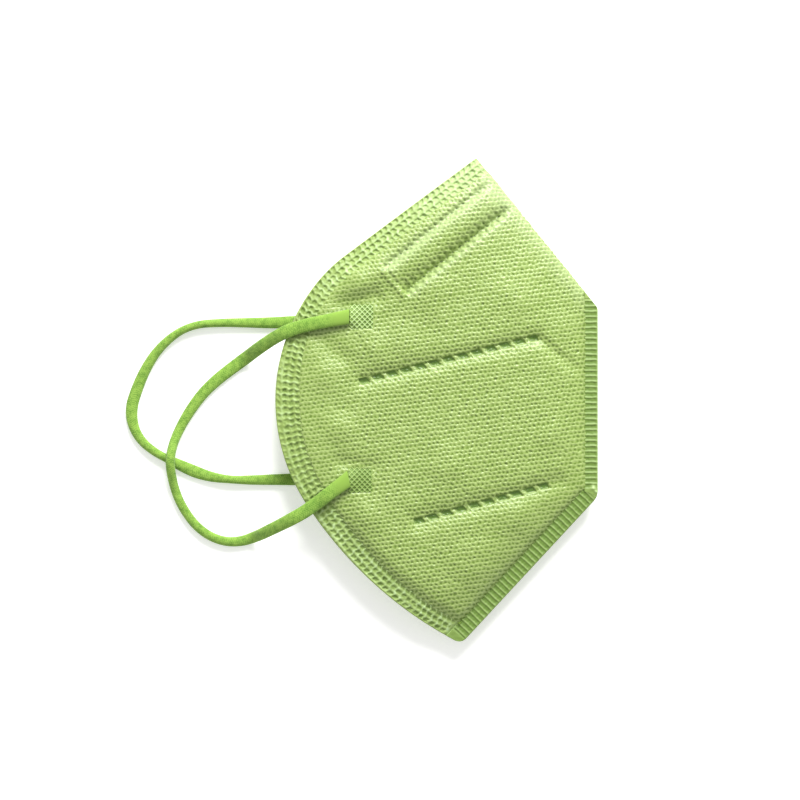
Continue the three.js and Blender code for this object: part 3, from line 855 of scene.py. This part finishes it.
def own_side(height, upper, parting):
    """A height kept on its own half's side of the mid height."""
    if upper:
        return max(height, MID_HEIGHT + parting)
    return min(height, MID_HEIGHT - parting)


def lining(half, material):
    upper = half == "upper"
    bm = flat_panel(LINING_STEPS, (1, 1), LINING_TUCK)
    pins = bm.verts.layers.float_vector.new("pins")
    for vert in bm.verts:
        vert[pins] = (*pit_depth(*vert.co.xy)[1:], 0)
        place = web_point(*fold_over(*vert.co.xy), upper, WALL)
        place.z = own_side(place.z, upper, LINING_PARTING)
        vert.co = place
    if upper:
        bmesh.ops.reverse_faces(bm, faces=bm.faces)
    return finish_piece(bm, "lining_" + half, material)


linings = {half: lining(half, spunbond_cloth) for half in HALVES}

# ------------------------------
# Face bands: the three-row ultrasonic weld that joins all the layers along each half's open face edge. The
# wheel presses squarish pockets into the cloth, and leaves wavy ridges square to the edge and a plain rim.

POCKET_PITCH = 2.14
POCKET = {"half_length": 0.68, "half_width": 0.63, "depth": 0.55, "edge": 0.28}
BAND_THICKNESS = 1.1
BAND_PARTING = 0.04
BAND_SPARE = 7.0  # past the ends of the face edge, for the fold and the chin seam to cut
BAND_CELLS = 8  # mesh cells from pocket to pocket, and from bar to bar in the seams


def band_press(along, inwards, brow, chin):
    """Share of a pocket's whole depth at a point of the band, and how near it is to a crossing of the ridges
    between. Each pocket is deepest on its nose side, where the wheel came down first."""
    wave = 0.22 * math.sin(inwards * 2.4 + 0.5 * math.sin(along * 0.31))
    wave += 0.12 * math.sin(along * 0.83)
    wave += 0.3 * noise.noise(Vector((along, inwards * 1.4, 3)) / 1.5)
    place = (along + wave) / POCKET_PITCH
    off = (place - round(place)) * POCKET_PITCH
    crumple = 0.95 + 0.45 * noise.noise(Vector((along, inwards, 5)) / 1.9)
    middle = first_row(along) + ROW_PITCH
    row = min(1, max(-2, round((inwards - middle) / ROW_PITCH)))
    aside = inwards - middle - row * ROW_PITCH
    lean = 0.15 + 0.35 * brow
    tilt = 0.9 - lean * off - lean * (brow - chin) * aside
    share = 0.5 if row < -1 else 1.0  # the plain border shows a faint fourth row
    rows = crumple * share * min(1.4, max(0.3, tilt))
    rows *= slab(aside, POCKET["half_width"], POCKET["edge"])
    between = (0.3 - 0.2 * brow - 0.15 * chin) * slab(inwards - middle, ROW_PITCH + 0.5, 0.4)
    crossing = ((POCKET_PITCH / 2 - abs(off)) ** 2 + (ROW_PITCH / 2 - abs(aside)) ** 2) / 0.45**2
    return slab(off, POCKET["half_length"], POCKET["edge"]) * max(rows, between), math.exp(-crossing)


def welded_cloth():
    """All the layers fused into one stiff band: smoother and denser than the open cloth, darker in its
    pockets, partly as painted shade, and paler on the thin ridges that the weld draws out, partly as painted
    highlight."""
    values = {"Roughness": 0.55, "IOR": 1.49}
    material, tree, shader = new_material("ultrasonically welded polypropylene", values)
    place = add_node(tree, "TexCoord").outputs["Object"]
    grain = speckled(tree, place, 1500.0, 4.0)
    light = remapped(tree, speckled(tree, place, 300.0, 3.0), 0.3, 0.7)
    open_cloth = blended(tree, light, "#849c4d", "#94ab5f")
    highlighted_ridges = blended(tree, attribute(tree, "drawn"), open_cloth, "#bad496")
    fused = blended(tree, attribute(tree, "pressed_and_shade"), highlighted_ridges, "#5f7c2c")
    feed(tree, shader, {"Base Color": fused, "Normal": bumped(tree, 0.5, 0.08 * MM, grain)})
    return material


def round_corner(bm, before, corner, after, blend):
    """Trims a corner of the plan along tangents of the curve that eases it, which starts blend before it."""
    start = corner + (before - corner).normalized() * blend
    end = corner + (after - corner).normalized() * blend
    for k in range(1, 6):
        share = k / 6
        point = start * (1 - share) ** 2 + corner * 2 * share * (1 - share) + end * share**2
        heading = (corner - start) * (1 - share) + (end - corner) * share
        trim(bm, point, (heading.y, -heading.x))


def thicken(bm):
    """Makes a flat cut a closed slab: its own faces are the inner side, and a copy at height 1 the outer."""
    grown = bmesh.ops.extrude_face_region(bm, geom=bm.faces[:])["geom"]
    for item in grown:
        if isinstance(item, bmesh.types.BMVert):
            item.co.z = 1


def flange(length, beyond, pitch, cells_across, width_at, point_at):
    """A flat strip along an edge, with some beyond both its ends to be cut off. Its layers keep each vertex's
    place along and across it, and how much the cloth is pressed and drawn out there, with painted shade and
    highlight."""
    bm = bmesh.new()
    whole = length + 2 * beyond
    cells_along = round(whole / (pitch / BAND_CELLS))
    bmesh.ops.create_grid(bm, x_segments=cells_along, y_segments=cells_across, size=0.5)
    rows = bm.verts.layers.float_vector.new("rows")
    pressed_and_shade = bm.verts.layers.float.new("pressed_and_shade")
    drawn = bm.verts.layers.float.new("drawn")
    for vert in bm.verts:
        along = (vert.co.x + 0.5) * whole - beyond
        inwards = (vert.co.y + 0.5) * width_at(along)
        vert[rows] = (along, inwards, 0)
        vert.co.xy = point_at(along, inwards)
    return bm, rows, pressed_and_shade, drawn


def face_band(half, material):
    upper = half == "upper"
    cells = round(FACE_BAND / 0.26)
    strip = flange(FACE_LENGTH, BAND_SPARE, POCKET_PITCH, cells, band_width, face_place)
    bm, rows, pressed_and_shade, drawn = strip
    trim_side(bm, FOLD, -FOLD_SHIFT)
    trim_side(bm, CHIN, CHIN_SEAM)
    thicken(bm)
    for vert in bm.verts:
        along, inwards, _ = vert[rows]
        x, y, turn = fold_over(*vert.co.xy)
        ends = smoothstep(0.8, 2.0, CHIN.reach(x, y) - CHIN_SEAM)
        brow = 1 - smoothstep(BROW_LENGTH, BROW_LENGTH + 25, along)
        chin = smoothstep(CHIN_FROM, CHIN_FROM + 25, along)
        press, crossing = band_press(along, inwards, brow, chin)
        press *= ends
        # Pockets drawn darker, partly fused colour and partly painted shade, less so by the brow, which faces
        # the lamp.
        vert[pressed_and_shade] = (0.5 - 0.35 * brow) * min(1.0, press)
        over = inwards - band_width(along)
        # Painted highlight on the thin ridges and their crossings, most by the brow and chin, and round the
        # nose tip.
        ridge_highlight = 0.15 + 0.35 * brow + 0.35 * chin + 0.7 * noise.noise(Vector((x, y, 1)) / 1.7)
        ridge_highlight *= smoothstep(0.3, 0.8, inwards) * (1 - smoothstep(-0.3, 0.3, over))
        ridge_highlight *= (1 - smoothstep(0.0, 0.35, press)) * (0.6 + 0.9 * crossing)
        vert[drawn] = max(ridge_highlight, TIP_PALING_AND_HIGHLIGHT * (1 - smoothstep(0.0, 45.0, along)))
        rim = 0.35 * (1 - smoothstep(0.0, 0.45, inwards)) ** 2
        tuck = 0.22 * smoothstep(-0.5, 0.0, over)
        slack = 0.14 * noise.noise(Vector((x, y, 4)) / 1.6)
        slack += 0.13 * noise.noise(Vector((x, y, 7)) / 0.7)
        drop = band_drop(inwards, along, turn)
        pocket = POCKET["depth"] * press
        if vert.co.z > 0.5:
            vert.co = web_point(x, y, turn, upper, drop + pocket + rim + tuck - slack)
            continue
        place = web_point(x, y, turn, upper, drop + BAND_THICKNESS - 0.5 * pocket - rim)
        place.z = own_side(place.z, upper, BAND_PARTING)
        vert.co = place
    bmesh.ops.recalc_face_normals(bm, faces=bm.faces)
    return finish_piece(bm, "face_band_" + half, material)


welded_fabric = welded_cloth()
bands = {half: face_band(half, welded_fabric) for half in HALVES}

# ------------------------------
# Seams: both halves fused together down the front and under the chin. The wheel's teeth leave bars square
# to the edge, pressed in from both sides, with a plain corner where the two seams meet and another at the
# chin tip.

BAR_PITCH = 1.76
SEAM_SPARE = 6.0
WELD_NUBS = [(51.2, -28.5, 0.75), (52.2, -30.0, 0.5)]  # beads squeezed out at the corner: place and size
BAR = {"half_length": 0.64, "depth": 0.36, "edge": 0.26}
SEAM_RISE = 0.12  # the flange between its bars stands this much over its half thickness


def seam(name, edge, width, plain, material):
    """The welded flange along one side, with plain stretches of the given lengths at its two ends."""
    length = edge.length
    cells = round(width / 0.33)
    strip = flange(length, SEAM_SPARE, BAR_PITCH, cells, lambda along: width, edge.point)
    bm, rows, pressed_and_shade, drawn = strip
    mitre = (FRONT.along + CHIN.along).normalized()
    if edge is FRONT:
        trim(bm, FRONT_BOTTOM, -mitre)
        trim_side(bm, FOLD, 0)
        round_corner(bm, FRONT_BOTTOM, FRONT_TOP, NOSE_TIP, blend=0.9)
    else:
        trim(bm, FRONT_BOTTOM, mitre)
        for along in (FACE_LENGTH - 6, FACE_LENGTH - 2, FACE_LENGTH):
            trim_tangent(bm, along, 0)
        round_corner(bm, face_place(FACE_LENGTH - 2, 0), CHIN_TIP, FRONT_BOTTOM, blend=2.8)
    round_corner(bm, CHIN_TIP, FRONT_BOTTOM, FRONT_TOP, blend=2.2)
    thicken(bm)
    fused_and_shade = 0.31 if edge is FRONT else 0.43  # the chin seam is drawn darker all over, as painted shade
    for vert in bm.verts:
        along, inwards, _ = vert[rows]
        x, y = vert.co.xy
        place = along / BAR_PITCH
        off = (place - round(place)) * BAR_PITCH + 0.14 * noise.noise(Vector((x, y, 2)) / 1.6)
        bars = smoothstep(plain[0] - 0.3, plain[0] + 0.3, along)
        bars *= 1 - smoothstep(length - plain[1] - 0.3, length - plain[1] + 0.3, along)
        across = smoothstep(0.1, 0.5, inwards)
        bumps = 0.85 + 0.15 * math.cos(2 * math.pi * inwards / 1.1)
        press = slab(off, BAR["half_length"], BAR["edge"]) * across * bars
        vert[pressed_and_shade] = fused_and_shade + 0.55 * press + 0.25 * (1 - bars)
        rim = 0.4 * (1 - smoothstep(0.0, 0.5, inwards)) ** 2
        nubs = sum(math.exp(-((x - nx) ** 2 + (y - ny) ** 2) / size**2) for nx, ny, size in WELD_NUBS)
        # Painted highlight on the ridges between the bars and on the squeezed-out beads.
        vert[drawn] = 0.35 * (1 - smoothstep(0.0, 0.4, press)) * bars + 0.8 * nubs
        vert[pressed_and_shade] *= 1 - nubs
        if edge is FRONT:  # by the fold the cloth is whole
            vert[pressed_and_shade] *= 1 - smoothstep(length + 1.5, length + 3.5, along)
        height = SEAM_HALF + SEAM_RISE + 0.5 * nubs - BAR["depth"] * press * bumps - rim
        height += 0.1 * noise.noise(Vector((x, y, 6)) / 0.9)
        vert.co.z = MID_HEIGHT + (height if vert.co.z > 0.5 else -height)
    bmesh.ops.recalc_face_normals(bm, faces=bm.faces)
    return finish_piece(bm, name, material)


seam("seam_front", FRONT, FRONT_SEAM, (2.8, -3.0), welded_fabric)
seam("seam_chin", CHIN, CHIN_SEAM, (1.9, 1.2), welded_fabric)

# ------------------------------
# Strap welds: the squares where a horn with a fine crossed pattern fuses a loop's end under a tab of cloth.

HATCH = 1.19  # from ridge to ridge, square to the ridges
HATCH_DEPTH = 0.34
WELD_CELLS = 56
WELD_RISE = 0.25  # the square stands this much over the panel
WELD_SINK = 0.6  # and its underside lies this deep in it
TAB_RISE = 1.0  # on the upper half, the strap's end lifts the cloth this much more


def hatch_press(x, y):
    """Share of the diamond pits' depth."""
    along = (x + y) / math.sqrt(2) / HATCH
    across = (x - y) / math.sqrt(2) / HATCH
    return slab(along - round(along), 0.34, 0.12) * slab(across - round(across), 0.34, 0.12)


def strap_weld(name, place, upper, hatch_highlight, material):
    bm = bmesh.new()
    bmesh.ops.create_grid(bm, x_segments=WELD_CELLS, y_segments=WELD_CELLS, size=0.5)
    pressed_and_shade = bm.verts.layers.float.new("pressed_and_shade")
    drawn = bm.verts.layers.float.new("drawn")
    thicken(bm)
    for vert in bm.verts:
        u = vert.co.x + 0.5
        v = vert.co.y + 0.5
        x = place[0] + (u - 0.5) * WELD_SIZE[0]
        y = place[1] + (v - 0.5) * WELD_SIZE[1]
        press = hatch_press(x, y)
        edge = min(u, 1 - u, v, 1 - v) * WELD_SIZE[0]
        # Painted highlight on the hatch's ridges; a weld with little of it is also drawn darker all over.
        vert[pressed_and_shade] = min(1.0, press * (0.55 + 0.45 * u) + 0.35 * (1 - hatch_highlight))
        vert[drawn] = hatch_highlight * (1 - smoothstep(0.0, 0.3, press)) * smoothstep(0.0, 0.8, edge)
        lift = WELD_RISE
        if upper:
            lift += TAB_RISE * (1 - smoothstep(0.0, 0.5, u)) * math.exp(-(((v - 0.5) / 0.33) ** 4))
        lift *= smoothstep(0.0, 0.9, min(1 - u, v, 1 - v) * WELD_SIZE[0])
        lift *= smoothstep(-0.6, 0.3, u * WELD_SIZE[0])
        depth = HATCH_DEPTH * press - lift + 0.1 if vert.co.z > 0.5 else WELD_SINK
        vert.co = web_point(x, y, math.pi / 2, upper, depth)
    bmesh.ops.recalc_face_normals(bm, faces=bm.faces)
    piece = finish_piece(bm, name + "_hatched", material)
    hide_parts(name)
    return piece


for end, place in WELD_PLACES.items():
    hatch_highlight = 0.7 if end == "upper" else 0.1
    strap_weld(f"strap_weld_front_{end}", place, True, hatch_highlight, welded_fabric)
    strap_weld(f"strap_weld_back_{end}", place, False, hatch_highlight, welded_fabric)

# ------------------------------
# Nose clip: a soft aluminium strip, rolled and slit, inside the channel across the fold. Satin, with faint
# rolling lines along it.


def rolled_aluminium():
    values = {"Base Color": srgb("#cbced2"), "Metallic": 1.0}
    material, tree, shader = new_material("rolled aluminium", values)
    place = add_node(tree, "TexCoord").outputs["Object"]
    heading = math.atan2(FOLD.inwards.y, FOLD.inwards.x)
    lines = speckled(tree, mapped(tree, place, -heading, (1, 30, 30)), 120.0, 3.0)
    rough = remapped(tree, lines, start=0.3, end=0.5)
    feed(tree, shader, {"Roughness": rough, "Normal": bumped(tree, 0.3, 0.02 * MM, lines)})
    return material


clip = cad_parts["nose_clip"]
clip.data.materials.clear()
clip.data.materials.append(rolled_aluminium())

# ------------------------------
# Studio: a plain white table that glows faintly, so that its shadows stay pale, under one large soft light
# from beyond the nose, and an even pale fill all round.

FLOOR_HALF = 1.5  # metres from its middle to each side
FLOOR_DROP = 0.0001  # it lies this much under the mask, so that the two don't touch
FLOOR_VALUES = {
    "Base Color": srgb("#f4f4f2"),
    "Roughness": 0.9,
    "Emission Color": (1, 1, 1, 1),
    "Emission Strength": 0.35,
}
floor_mesh = bmesh.new()
below = Matrix.Translation((0, 0, -FLOOR_DROP))
bmesh.ops.create_grid(floor_mesh, x_segments=1, y_segments=1, size=FLOOR_HALF, matrix=below)
floor_data = bpy.data.meshes.new("floor")
floor_mesh.to_mesh(floor_data)
floor_mesh.free()
floor_data.materials.append(new_material("matt white acrylic", FLOOR_VALUES)[0])
floor = new_object("floor", floor_data)

KEY_PLACE = Vector((0.22, 1.12, 0.81))
key_data = bpy.data.lights.new("key", "AREA")
key_data.shape = "DISK"
key_data.size = 0.8
key_data.energy = 37
key = new_object("key", key_data)
key.location = KEY_PLACE
key.rotation_euler = KEY_PLACE.to_track_quat("Z", "Y").to_euler()

world = bpy.data.worlds.new("studio")
world.use_nodes = True
world.node_tree.nodes["Background"].inputs["Color"].default_value = (1, 1, 1, 1)
world.node_tree.nodes["Background"].inputs["Strength"].default_value = 0.62
bpy.context.scene.world = world
bpy.context.scene.view_settings.view_transform = "Standard"
